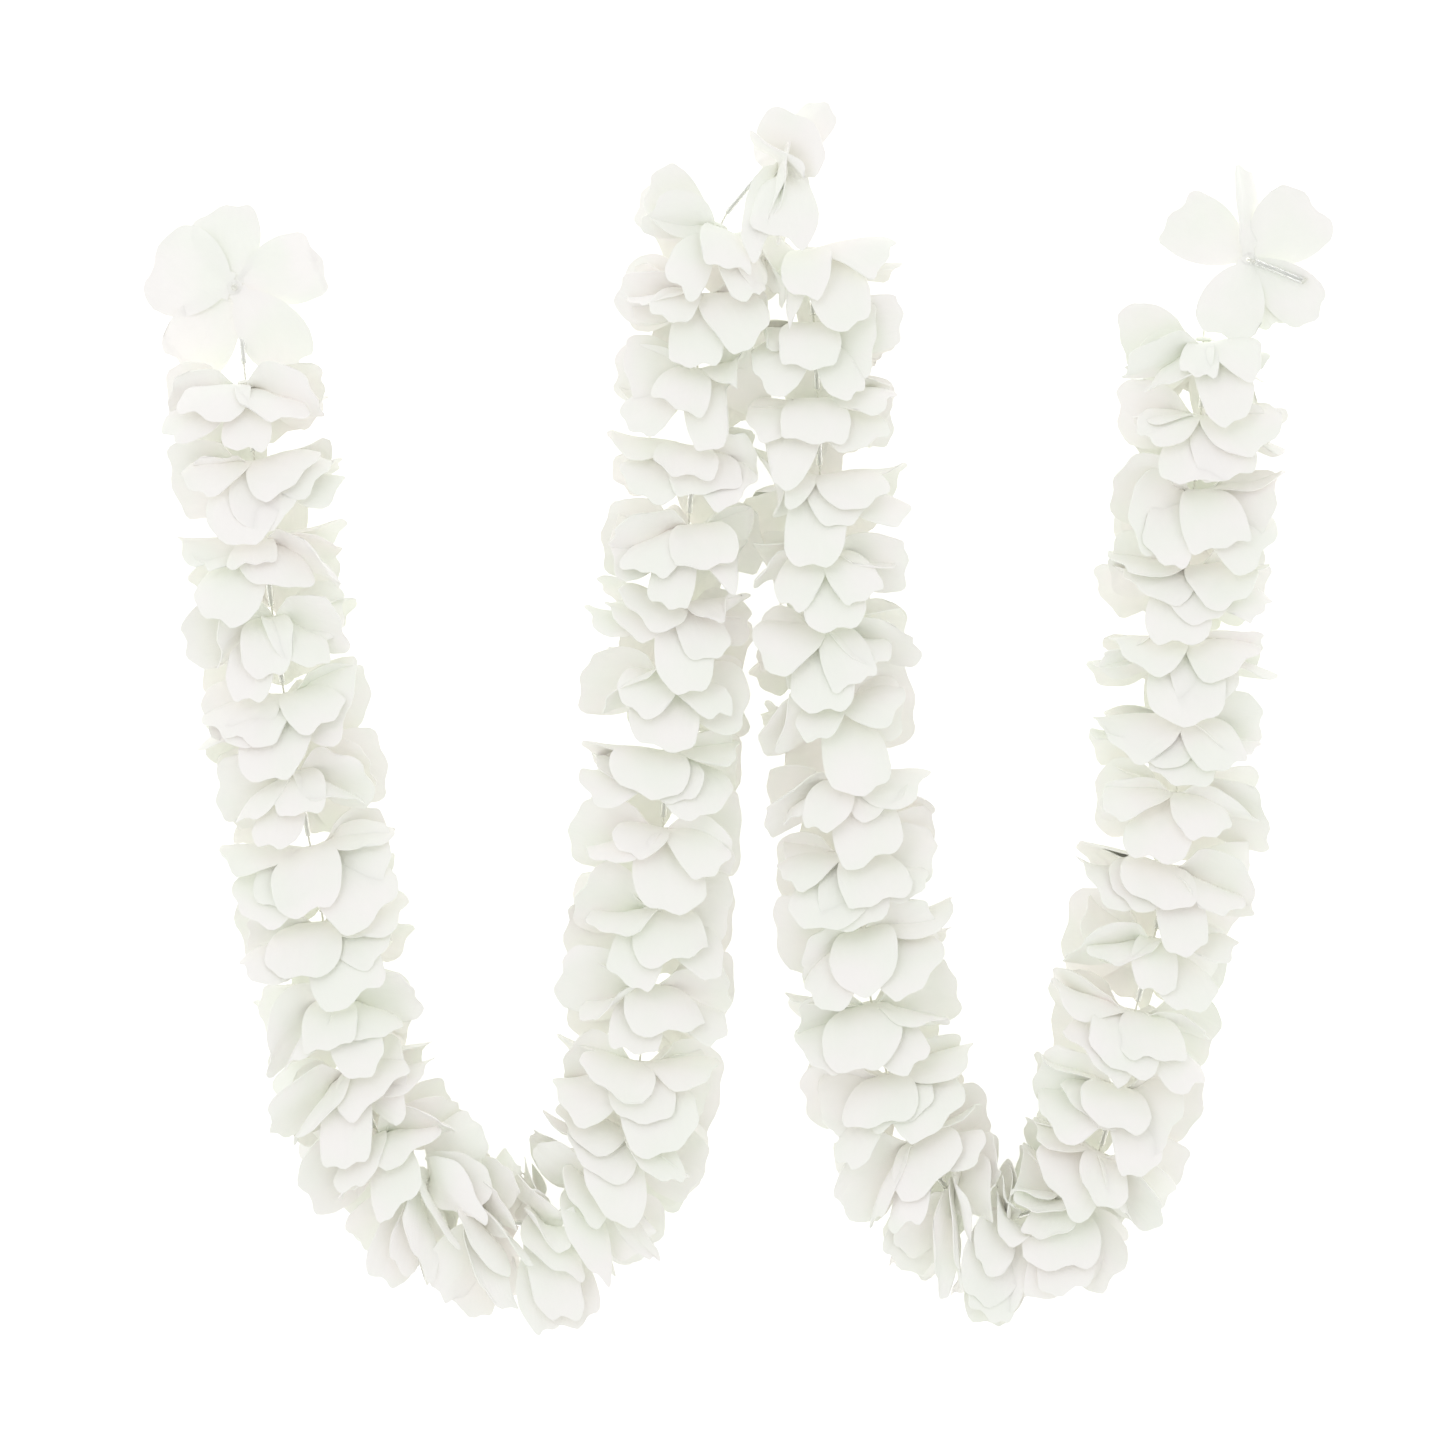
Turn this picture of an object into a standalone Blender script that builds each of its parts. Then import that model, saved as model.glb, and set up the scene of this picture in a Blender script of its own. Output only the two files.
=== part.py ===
"""An open lei of white fabric flowers on a thread, laid flat in a W.

The thread runs from the upper left end down into a U, up to a fold at the top
centre, down into a second U and up to the upper right end. Clear tubes on it
keep the flowers apart. Each flower is two cut fabric layers round a small hub
with a hole for the thread, with five to eight petals. The flowers at the two
ends lie open, facing up. Metres, +Z up, +Y toward the fold, surface at z = 0.
"""

import math
import random

import bpy
import numpy as np

# Flower: distances from the hub's middle, and the fabric's thickness
PETALS = 8
PETAL_REACH = 0.0385
PETAL_WIDTH = 0.0285
PETAL_THICKNESS = 0.0008
HUB_RADIUS = 0.0045
HUB_HALF = 0.0010
BORE_RADIUS = 0.0009

# A petal's cross rows after its root: share of the reach, share of the width
PETAL_ROWS = ((0.34, 0.72), (0.72, 1.00), (1.00, 0.52))

# Tips of the two layers lean apart along the thread, by a little more or less
LAYER_LEAN = 0.0074
LEAN_SPREAD = 0.0048
LEAN_RISE = 0.6
SPREAD_RISE = 1.6
ROLL_SPREAD = 0.15

# Some petals to the sides are turned about their own length to face up
FACING_COS = 0.82
FACING_SHARE = 0.5
FACING_ROLL = (1.0, 1.35)
FACING_AT_BENDS = 0.95
BEND_STRETCH = 1.15
FACING_CLEARANCE = 0.20
NARROW_BASE = 0.70

# Where the thread runs this much along X, all but the lowest petals are turned
CROSSWISE = 0.70
CROSSWISE_LEAN = 0.4
CROSSWISE_WIDTH = 0.85
LOWEST_SINE = -0.50

# Thread, spacer tubes and end knots
THREAD_RADIUS = 0.00045
TUBE_RADIUS = 0.0012
TUBE_LENGTH = 0.022
KNOT_RADIUS = 0.0014
KNOT_GAP = 0.0003
CORNER = 0.0015
UP = np.array([0.0, 0.0, 1.0])
LAST_TUBE_WAY = np.array([0.93, -0.37, 0.0])
STRAND_SIDES = 4

# The thread's height over the surface. Petals over it bend back as they rise,
# and those under it bend until they lie on the surface.
THREAD_HEIGHT = 0.0195
TOP_TURN = math.radians(74)
FLOOR_TURN = 0.030
FLOOR_SEAT = 0.0006
LAYER_STEP = 0.0014

# Flowers in each half of the W, and the longer gaps at the ends and the fold
HALF_FLOWERS = 28
FIRST_GAP = 0.045
LAST_GAP = 0.045
FOLD_GAP = 0.040
FOLD_SHIFT = 0.003
BEND_CROWDING = 0.30
BEND_CURVATURE = 20.0

# At the foot of each bend the petals also fan along the thread: place and push
FANS = ((-0.100, -0.222, 0.4), (0.128, -0.221, -0.4))
FAN_SPREAD = 0.030

# The two middle stretches lie side by side, and their petals overhang in turns
# the line midway between them
MIDDLE_X = 0.011
MIDDLE_HALF_WIDTH = 0.045
MIDDLE_BOTTOM = -0.02
OVERHANG = 0.007
OVERHANG_WAVE = 0.085
OVERHANG_HEIGHT = 0.012
SIDE_ROOM = 0.97
CROWDED_WEDGE = math.radians(90)
CROWDED_ROOM = 0.60
CROWDED_WIDTH = 0.55

# Petals set by hand: direction in degrees, layer, lean of the tip, roll, reach and
# width. The end flowers lie open, with directions seen from above; the fold's are
# round the thread from straight outward, up over it and down under it.
LEFT_HEIGHT = 0.0165
LEFT_SAG = 0.0115
RIGHT_HEIGHT = 0.0205
RIGHT_SAG = 0.0060
END_LAYER_LEAN = 0.0026
END_TUBE_HEIGHT = 0.0085
LEFT_END = (
    (20, 0, 0.000, 0.05, 0.038, 0.026),
    (100, 0, 0.001, 0.05, 0.035, 0.025),
    (162, 1, 0.000, -0.05, 0.037, 0.034),
    (235, 0, 0.000, 0.05, 0.040, 0.026),
    (309, 1, 0.001, -0.05, 0.041, 0.024),
)
RIGHT_END = (
    (40, 0, 0.000, 0.12, 0.037, 0.028),
    (93, 1, 0.003, 0.95, 0.041, 0.014),
    (146, 0, 0.001, -0.25, 0.038, 0.023),
    (250, 1, 0.004, 0.00, 0.034, 0.024),
    (291, 0, 0.002, 0.05, 0.031, 0.014),
    (322, 1, 0.001, 0.15, 0.037, 0.020),
)
FOLD_FLOWER = (
    (8, 1, 0.007, 1.10, 0.038, 0.022),
    (50, 0, -0.006, 1.20, 0.034, 0.020),
    (84, 1, 0.006, -1.25, 0.036, 0.022),
    (118, 0, -0.004, 1.30, 0.036, 0.022),
    (268, 0, -0.002, 0.00, 0.036, 0.018),
    (310, 1, 0.001, 0.10, 0.036, 0.020),
)

# The thread's route seen from above, from the left end to the right end
ROUTE = (
    (-0.220, 0.188), (-0.216, 0.157), (-0.213, 0.128), (-0.208, 0.087),
    (-0.204, 0.051), (-0.199, 0.015), (-0.193, -0.019), (-0.188, -0.050),
    (-0.182, -0.082), (-0.178, -0.116), (-0.172, -0.145), (-0.163, -0.172),
    (-0.150, -0.194), (-0.132, -0.211), (-0.112, -0.222), (-0.091, -0.225),
    (-0.073, -0.218), (-0.056, -0.201), (-0.045, -0.177), (-0.041, -0.147),
    (-0.038, -0.118), (-0.035, -0.087), (-0.032, -0.056), (-0.030, -0.025),
    (-0.029, 0.006), (-0.024, 0.038), (-0.021, 0.069), (-0.019, 0.100),
    (-0.017, 0.130), (-0.016, 0.160), (-0.015, 0.186), (-0.010, 0.207),
    (0.000, 0.226), (0.011, 0.238), (0.022, 0.238), (0.029, 0.226),
    (0.032, 0.207), (0.034, 0.185), (0.036, 0.158), (0.037, 0.127),
    (0.038, 0.095), (0.039, 0.063), (0.041, 0.032), (0.045, 0.000),
    (0.049, -0.032), (0.052, -0.064), (0.056, -0.096), (0.061, -0.131),
    (0.068, -0.161), (0.078, -0.187), (0.091, -0.206), (0.109, -0.219),
    (0.130, -0.221), (0.148, -0.210), (0.161, -0.191), (0.168, -0.166),
    (0.174, -0.140), (0.181, -0.112), (0.188, -0.084), (0.193, -0.055),
    (0.195, -0.025), (0.197, 0.006), (0.198, 0.037), (0.200, 0.068),
    (0.202, 0.098), (0.205, 0.128), (0.206, 0.152), (0.206, 0.169),
    (0.211, 0.184), (0.226, 0.200),
)
SAMPLE_STEP = 0.001
SMOOTHING = 8
FIRST_SEED = 101

# Flowers whose first draw would let petals touch, and the seeds drawn instead
REDRAWN = {
    9: 309, 13: 613, 14: 914, 15: 30515, 16: 416, 17: 1017, 18: 418, 19: 319, 27: 327,
    29: 829, 31: 331, 33: 333, 34: 334, 35: 335, 43: 343, 44: 544, 45: 11045, 46: 346,
    47: 447, 49: 349, 56: 656,
}

# Moves the middle of the whole lei over the origin
CENTRE_SHIFT = (-0.0005, -0.0027)


def clear_scene():
    for thing in list(bpy.data.objects):
        bpy.data.objects.remove(thing, do_unlink=True)


def plain_material(name, colour, roughness):
    material = bpy.data.materials.new(name)
    material.use_nodes = True
    shader = material.node_tree.nodes["Principled BSDF"]
    shader.inputs["Base Color"].default_value = (*colour, 1.0)
    shader.inputs["Roughness"].default_value = roughness
    shader.inputs["Metallic"].default_value = 0.0
    return material


def unit(vector):
    return vector / np.linalg.norm(vector)


def curve_through(points, steps=12):
    """A smooth curve through hand-chosen points."""
    points = np.array(points)
    padded = np.vstack([2 * points[0] - points[1], points, 2 * points[-1] - points[-2]])
    curve = []
    for a, b, c, d in zip(padded, padded[1:], padded[2:], padded[3:]):
        for step in range(steps):
            t = step / steps
            curve.append(0.5 * (2 * b + (c - a) * t + (2 * a - 5 * b + 4 * c - d) * t ** 2
                                + (3 * b - a - 3 * c + d) * t ** 3))
    curve.append(points[-1])
    return np.array(curve)


def resample(curve, step):
    """The same curve with its points an even step apart."""
    lengths = np.linalg.norm(np.diff(curve, axis=0), axis=1)
    along = np.concatenate([[0.0], np.cumsum(lengths)])
    stops = np.linspace(0.0, along[-1], int(along[-1] / step) + 1)
    return np.column_stack([np.interp(stops, along, curve[:, axis]) for axis in range(2)])


def smooth_rows(rows, reach):
    """Each row averaged with its neighbours up to reach rows away."""
    weights = np.hanning(2 * reach + 3)[1:-1]
    weights /= weights.sum()
    padded = np.concatenate([np.repeat(rows[:1], reach, axis=0), rows,
                             np.repeat(rows[-1:], reach, axis=0)])
    return np.array([weights @ padded[i:i + len(weights)] for i in range(len(rows))])


def top_bend():
    """Rise and fall back of the upper petals, which bend most near the thread."""
    steps = np.linspace(0.0, 1.2 * PETAL_REACH, 121)
    angles = TOP_TURN * (1 - np.maximum(1 - steps / PETAL_REACH, 0.0) ** 2)
    gaps = np.diff(steps)
    middles = (angles[:-1] + angles[1:]) / 2
    rise = np.concatenate([[0.0], np.cumsum(np.cos(middles) * gaps)])
    fall = np.concatenate([[0.0], np.cumsum(np.sin(middles) * gaps)])
    return steps, rise, fall


BEND_STEPS, BEND_RISE, BEND_FALL = top_bend()


def bend_down(height):
    """Rise over the thread, and fall back along -Y, of a place this far up a petal."""
    size = abs(height)
    if height >= 0:
        return tuple(float(np.interp(size, BEND_STEPS, table)) for table in (BEND_RISE, BEND_FALL))
    turn = math.pi / 2 / FLOOR_TURN
    angle = turn * min(size, FLOOR_TURN)
    lying = max(size - FLOOR_TURN, 0.0)
    return -math.sin(angle) / turn, (1 - math.cos(angle)) / turn + lying


def fan(point):
    """Push along X of the petals over a place on the thread, near the foot of a bend."""
    return sum(push * math.exp(-((point[0] - x) ** 2 + (point[1] - y) ** 2) / (2 * FAN_SPREAD ** 2))
               for x, y, push in FANS)


class Route:
    """The thread's course: points in the plan, normals to its left, room at its sides."""

    def __init__(self):
        curve = resample(curve_through(ROUTE), SAMPLE_STEP)
        inner = smooth_rows(curve, SMOOTHING)
        inner[:SMOOTHING] = curve[:SMOOTHING]
        inner[-SMOOTHING:] = curve[-SMOOTHING:]
        self.points = resample(inner, SAMPLE_STEP)
        self.length = SAMPLE_STEP * (len(self.points) - 1)
        self.at = np.linspace(0.0, self.length, len(self.points))
        tangents = smooth_rows(np.gradient(self.points, axis=0), SMOOTHING)
        self.tangents = tangents / np.linalg.norm(tangents, axis=1)[:, None]
        self.normals = np.column_stack([-self.tangents[:, 1], self.tangents[:, 0]])
        self.turning = (np.gradient(self.tangents, axis=0) * self.normals).sum(axis=1) / SAMPLE_STEP
        self.room = {side: self.side_room(side) for side in (1, -1)}

    def side_room(self, side):
        """Half the way to the nearest other stretch of thread on one side."""
        rooms = []
        for point, normal in zip(self.points, self.normals * side):
            offsets = self.points - point
            ahead = offsets @ normal
            facing = ahead > 1e-5
            half_ways = (offsets[facing] ** 2).sum(axis=1) / (2 * ahead[facing])
            rooms.append(min(half_ways, default=0.2))
        nearest = [min(rooms[max(i - 6, 0):i + 7] + [0.2]) for i in range(len(rooms))]
        return smooth_rows(np.array(nearest), 12) * SIDE_ROOM

    def read(self, table, along):
        return np.array([np.interp(along, self.at, table[:, axis]) for axis in range(2)])

    def side(self, side, along):
        return float(np.interp(along, self.at, self.room[side]))

    def centre(self, along):
        inside = min(max(along, 0.0), self.length)
        return self.read(self.points, inside) + (along - inside) * self.read(self.tangents, inside)

    def on_thread(self, along):
        return np.array([*self.centre(along), THREAD_HEIGHT])

    def overhang(self, side, along, height):
        """How far petals here reach past the line midway between the middle stretches."""
        x, y = self.centre(along)
        inward = (MIDDLE_X - x) * side * self.read(self.normals, along)[0] > 0
        if not inward or abs(x - MIDDLE_X) > MIDDLE_HALF_WIDTH or y < MIDDLE_BOTTOM:
            return 0.0
        ease = min(max(self.side(side, along) / 0.012 - 1, 0.0), 1.0)
        tier = min(max(height / OVERHANG_HEIGHT, -1.0), 1.0)
        shift = OVERHANG * ease * tier * math.sin(2 * math.pi * y / OVERHANG_WAVE)
        return shift if x < MIDDLE_X else -shift

    def stretch(self, stop, across):
        """How much longer the way is here than along the thread, round its bends."""
        return 1 - across * float(np.interp(stop, self.at, self.turning))

    def place(self, stop, lean, across, height):
        """World point of a place left of and over the thread, leaning from a flower."""
        side = 1 if across > 0 else -1
        along = stop + lean / max(self.stretch(stop, across), 1.0)
        room = self.side(side, along) + self.overhang(side, along, height)
        across = across / (1 + (abs(across) / room) ** 6) ** (1 / 6)
        rise, fall = bend_down(height)
        centre = self.centre(along)
        x, y = centre + across * self.read(self.normals, along)
        return np.array([x + fall * fan(centre), y - fall, THREAD_HEIGHT + rise])

    def spread(self, start, end, count):
        """Evenly spaced distances along the thread, closer together at the bends."""
        bend = smooth_rows(abs(self.turning), 20) / BEND_CURVATURE
        crowd = 1 + BEND_CROWDING * np.minimum(bend, 1.0)
        crowd[(self.at < start) | (self.at > end)] = 0.0
        total = np.cumsum(crowd)
        marks = np.linspace(total[0], total[-1], count)
        stops = list(np.interp(marks[1:-1], total, self.at))
        return [start, *stops, end]


def flower_stops(route):
    """Distances of the flowers along the thread, end to end."""
    fold = route.at[int(np.argmax(route.points[:, 1]))] + FOLD_SHIFT
    left = route.spread(FIRST_GAP, fold - FOLD_GAP, HALF_FLOWERS)
    right = route.spread(fold + FOLD_GAP, route.length - LAST_GAP, HALF_FLOWERS)
    return [0.0, *left, fold, *right, route.length]


def tube_spans(stops):
    """Start and end of each spacer tube along the thread, midway between flowers."""
    middles = [(a + b) / 2 for a, b in zip(stops, stops[1:])]
    return [(middle - TUBE_LENGTH / 2, middle + TUBE_LENGTH / 2) for middle in middles]


def steer(angle, side_angle, wedge):
    """Turn a petal's direction away from a crowded side."""
    away = (angle - side_angle + math.pi) % (2 * math.pi) - math.pi
    return side_angle + math.copysign(wedge + abs(away) * (1 - wedge / math.pi), away)


def petal_plans(route, stop, seed):
    """Direction, layer, lean, roll, reach and width of each petal of one flower."""
    draw = random.Random(seed)
    start = draw.uniform(0, 2 * math.pi)
    plans = []
    rooms = {side: min(route.side(side, stop) / PETAL_REACH, 1.0) for side in (1, -1)}
    least = min(rooms.values())
    heading = route.read(route.tangents, stop)
    crosswise = abs(heading[0]) > CROSSWISE
    for index in range(PETALS):
        angle = start + 2 * math.pi * index / PETALS + draw.uniform(-0.10, 0.10)
        angle = steer(angle, 0.0, CROWDED_WEDGE * (1 - rooms[1]))
        angle = steer(angle, math.pi, CROWDED_WEDGE * (1 - rooms[-1]))
        angle %= 2 * math.pi
        layer = index % 2
        lean = draw.uniform(-LEAN_SPREAD, LEAN_SPREAD)
        roll = draw.uniform(-ROLL_SPREAD, ROLL_SPREAD)
        reach = PETAL_REACH * draw.uniform(0.90, 1.04)
        width = PETAL_WIDTH * draw.uniform(0.84, 1.04) * (CROWDED_WIDTH + (1 - CROWDED_WIDTH) * least)
        outer = route.stretch(stop, PETAL_REACH * math.cos(angle)) > BEND_STRETCH
        chance = FACING_AT_BENDS if outer else FACING_SHARE
        facing = draw.random() < chance and abs(math.cos(angle)) > FACING_COS
        facing = facing and rooms[1 if math.cos(angle) > 0 else -1] > CROWDED_ROOM
        if crosswise and math.sin(angle) > LOWEST_SINE:
            lean *= CROSSWISE_LEAN
            width *= CROSSWISE_WIDTH
            roll = draw.uniform(*FACING_ROLL)
        elif facing:
            roll = math.copysign(draw.uniform(*FACING_ROLL), math.cos(angle) * heading[1])
        plans.append((angle, layer, lean, roll, reach, width))
    return clear_of_facing(sorted(plans))


def is_facing(plan):
    return abs(plan[3]) > ROLL_SPREAD


def clear_of_facing(plans):
    """Turn petals next to one that faces up away from it, and narrow them."""
    cleared = []
    for index, (angle, layer, lean, roll, reach, width) in enumerate(plans):
        before = plans[index - 1]
        after = plans[(index + 1) % len(plans)]
        shift = FACING_CLEARANCE * (is_facing(before) - is_facing(after))
        if not is_facing(plans[index]) and (is_facing(before) or is_facing(after)):
            roll = 0.0
            width *= NARROW_BASE
            angle += shift
        cleared.append((angle, layer, lean, roll, reach, width))
    return cleared


def layered_lean(plan, share):
    """How far a petal has leaned along the thread at a share of its reach."""
    _, layer, lean, _, _, _ = plan
    apart = 0.3 if is_facing(plan) else 1.0
    return apart * LAYER_LEAN * (2 * layer - 1) * share ** LEAN_RISE + lean * share ** SPREAD_RISE


def petal_skin(plan, lean_at, place, hub, low_layer):
    """Under and upper corner pairs of a petal's rows, in the world."""
    angle, layer, _, roll, reach, width = plan
    seat = PETAL_THICKNESS / 2 + abs(layer - low_layer) * LAYER_STEP
    rows = []
    for share, wide in PETAL_ROWS:
        out = reach * share
        half = width * wide / 2
        turn = roll * min(share / PETAL_ROWS[0][0], 1.0)
        pair = []
        for edge in (-half, half):
            across = out * math.cos(angle) - edge * math.cos(turn) * math.sin(angle)
            height = out * math.sin(angle) + edge * math.cos(turn) * math.cos(angle)
            pair.append(place(lean_at(plan, share) + edge * math.sin(turn), across, height))
        rows.append(pair)
    middles = [hub] + [(a + b) / 2 for a, b in rows]
    skin = []
    for index, pair in enumerate(rows):
        ahead = middles[min(index + 2, len(rows))] - middles[index]
        facing = unit(np.cross(ahead, pair[1] - pair[0]))
        low_pair = []
        high_pair = []
        for point in pair:
            offset = facing * PETAL_THICKNESS / 2
            if point[2] < seat + FLOOR_SEAT:
                point = np.array([point[0], point[1], seat])
                offset = np.array([0.0, 0.0, math.copysign(PETAL_THICKNESS / 2, facing[2])])
            low_pair.append(point - offset)
            high_pair.append(point + offset)
        skin.append((low_pair, high_pair))
    return skin


def flower_mesh(hub, axis, plans, lean_at, place):
    """One closed skin over a flower's hub and petals.

    Where petals of both layers lie on the surface, the layer behind is the lower.
    """
    low_layer = 0 if axis[1] < 0 else 1
    sideways = np.array([1.0, 0.0, 0.0])
    if abs(axis[2]) < 0.5:
        sideways = unit(np.array([-axis[1], axis[0], 0.0]))
    upward = np.cross(axis, sideways)
    count = len(plans)
    angles = [plan[0] for plan in plans]
    corners = [(angles[0] + angles[-1]) / 2 - math.pi]
    corners += [(a + b) / 2 for a, b in zip(angles, angles[1:])]
    verts = []
    faces = []

    def ring(radius, level):
        for corner in corners:
            outward = math.cos(corner) * sideways + math.sin(corner) * upward
            verts.append(hub + radius * outward + level * axis)
        return list(range(len(verts) - count, len(verts)))

    def add_pair(pair):
        verts.extend(pair)
        return len(verts) - 2, len(verts) - 1

    def quad(a, b, c, d):
        faces.append((a, b, c))
        faces.append((a, c, d))

    rings = [ring(HUB_RADIUS, level) for level in (-HUB_HALF, 0.0, HUB_HALF)]
    bore = [ring(BORE_RADIUS, level) for level in (-HUB_HALF, HUB_HALF)]
    for k, plan in enumerate(plans):
        n = (k + 1) % count
        quad(rings[2][k], rings[2][n], bore[1][n], bore[1][k])
        quad(rings[0][n], rings[0][k], bore[0][k], bore[0][n])
        quad(bore[0][k], bore[1][k], bore[1][n], bore[0][n])
        layer = plan[1]
        wall = rings[1 - layer:3 - layer]
        quad(wall[0][k], wall[0][n], wall[1][n], wall[1][k])
        low = [(rings[layer][k], rings[layer][n])]
        high = [(rings[layer + 1][k], rings[layer + 1][n])]
        for low_pair, high_pair in petal_skin(plan, lean_at, place, hub, low_layer):
            low.append(add_pair(low_pair))
            high.append(add_pair(high_pair))
        for (low_a, high_a), (low_b, high_b) in zip(zip(low, high), zip(low[1:], high[1:])):
            quad(high_a[0], high_b[0], high_b[1], high_a[1])
            faces.append((low_a[0], low_b[1], low_b[0]))
            faces.append((low_a[0], low_a[1], low_b[1]))
            quad(low_a[0], low_b[0], high_b[0], high_a[0])
            quad(low_a[1], high_a[1], high_b[1], low_b[1])
        quad(low[-1][0], low[-1][1], high[-1][1], high[-1][0])
    return verts, faces


def set_by_hand(petals):
    return sorted((math.radians(direction), *rest) for direction, *rest in petals)


def end_flower(hub, petals, sag):
    """Mesh of a flower at an end of the thread, open and facing up."""
    def place(lean, across, height):
        out = math.hypot(across, height) / PETAL_REACH
        return hub + np.array([across, height, lean - sag * out ** 2])

    def lean_at(plan, share):
        return END_LAYER_LEAN * (2 * plan[1] - 1) * share ** LEAN_RISE + plan[2] * share

    return flower_mesh(hub, UP, set_by_hand(petals), lean_at, place)


def thread_flower(route, stop, start, end, plans):
    """Mesh of a flower on the thread, between the tube ends at start and end."""
    def place(lean, across, height):
        return route.place(stop, lean, across, height)

    return flower_mesh((start + end) / 2, unit(end - start), plans, layered_lean, place)


def knot(point, away):
    """Rings of a small round knot that grows away from a point on the thread."""
    shape = ((0.0, THREAD_RADIUS), (0.0006, KNOT_RADIUS), (0.0020, KNOT_RADIUS),
             (0.0026, THREAD_RADIUS))
    return [(point + away * distance, radius) for distance, radius in shape]


def tube(start, end):
    """Rings of a tube with the thread leaving at both ends."""
    return [(start, THREAD_RADIUS), (start, TUBE_RADIUS), (end, TUBE_RADIUS), (end, THREAD_RADIUS)]


def rise_to(hub, tube_end):
    """Rings where the thread turns up from a tube to an end flower's hub."""
    under = np.array([hub[0], hub[1], tube_end[2]])
    corner = under + unit(tube_end - under) * CORNER
    return [(corner, THREAD_RADIUS), (hub - UP * 2 * CORNER, THREAD_RADIUS)]


def strand_rings(route, spans, left_hub, right_hub):
    """Centre and radius of each ring along the thread, its tubes and its knots."""
    tubes = [[route.on_thread(start), route.on_thread(end)] for start, end in spans]
    tubes[0][0][2] = END_TUBE_HEIGHT
    tubes[-1][1][2] = END_TUBE_HEIGHT
    rings = knot(left_hub + UP * (HUB_HALF + KNOT_GAP), UP)[::-1]
    rings += rise_to(left_hub, tubes[0][0])[::-1]
    for start, end in tubes:
        rings += tube(start, end)
    rings += rise_to(right_hub, tubes[-1][1])
    rings.append((right_hub + UP * CORNER, THREAD_RADIUS))
    start = right_hub + UP * 2 * CORNER + LAST_TUBE_WAY * 2 * CORNER
    end = start + LAST_TUBE_WAY * TUBE_LENGTH
    rings += tube(start, end)
    rings += knot(end + LAST_TUBE_WAY * KNOT_GAP, LAST_TUBE_WAY)
    return rings


def next_place(point, others):
    """The first of the other points that isn't in the same place."""
    return next((other for other in others if np.linalg.norm(other - point) > 1e-6), None)


def strand_mesh(rings):
    """One closed skin swept along the thread's rings."""
    verts = []
    faces = []
    points = [point for point, _ in rings]
    sideways = np.array([1.0, 0.0, 0.0])
    for index, (point, radius) in enumerate(rings):
        before = next_place(point, points[:index][::-1])
        after = next_place(point, points[index + 1:])
        axis = np.zeros(3)
        if before is not None:
            axis += unit(point - before)
        if after is not None:
            axis += unit(after - point)
        axis = unit(axis)
        sideways = unit(sideways - axis * (sideways @ axis))
        upward = np.cross(axis, sideways)
        for side in range(STRAND_SIDES):
            turn = 2 * math.pi * side / STRAND_SIDES
            verts.append(point + radius * (math.cos(turn) * sideways + math.sin(turn) * upward))
    for first in range(0, len(verts) - STRAND_SIDES, STRAND_SIDES):
        for side in range(STRAND_SIDES):
            a = first + side
            b = first + (side + 1) % STRAND_SIDES
            faces.append((a, b, b + STRAND_SIDES))
            faces.append((a, b + STRAND_SIDES, a + STRAND_SIDES))
    faces.append(tuple(reversed(range(STRAND_SIDES))))
    faces.append(tuple(range(len(verts) - STRAND_SIDES, len(verts))))
    return verts, faces


def add_object(name, mesh_data, material):
    verts, faces = mesh_data
    mesh = bpy.data.meshes.new(name)
    mesh.from_pydata([tuple(vert) for vert in verts], [], faces)
    mesh.materials.append(material)
    thing = bpy.data.objects.new(name, mesh)
    thing.location = (*CENTRE_SHIFT, 0.0)
    bpy.context.scene.collection.objects.link(thing)


def main():
    clear_scene()
    fabric = plain_material("white_fabric", (0.86, 0.86, 0.82), 0.9)
    clear_plastic = plain_material("clear_tube", (0.80, 0.82, 0.80), 0.2)
    route = Route()
    stops = flower_stops(route)
    spans = tube_spans(stops)
    left_hub = np.array([*route.centre(0.0), LEFT_HEIGHT])
    right_hub = np.array([*route.centre(route.length), RIGHT_HEIGHT])
    rings = strand_rings(route, spans, left_hub, right_hub)
    add_object("strand", strand_mesh(rings), clear_plastic)
    add_object("flower_01", end_flower(left_hub, LEFT_END, LEFT_SAG), fabric)
    for index, stop in enumerate(stops[1:-1]):
        start = route.on_thread(spans[index][1])
        end = route.on_thread(spans[index + 1][0])
        plans = petal_plans(route, stop, REDRAWN.get(index + 2, FIRST_SEED + index))
        if index == HALF_FLOWERS:
            plans = set_by_hand(FOLD_FLOWER)
        flower = thread_flower(route, stop, start, end, plans)
        add_object(f"flower_{index + 2:02d}", flower, fabric)
    last_flower = end_flower(right_hub, RIGHT_END, RIGHT_SAG)
    add_object(f"flower_{len(stops):02d}", last_flower, fabric)


main()
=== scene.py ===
"""Looks of an open lei of white fabric flowers, laid flat in a W.

Each flower's solid is replaced by its finer form: two layers of thin cut cloth
petals with rounded outlines, cupped, pleated and waved, and shorter inner petals
in the gaps between them. The thread, its clear spacer tubes and its end knots
are pieces of their own. Metres, +Z up.
"""

import math
import random

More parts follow.
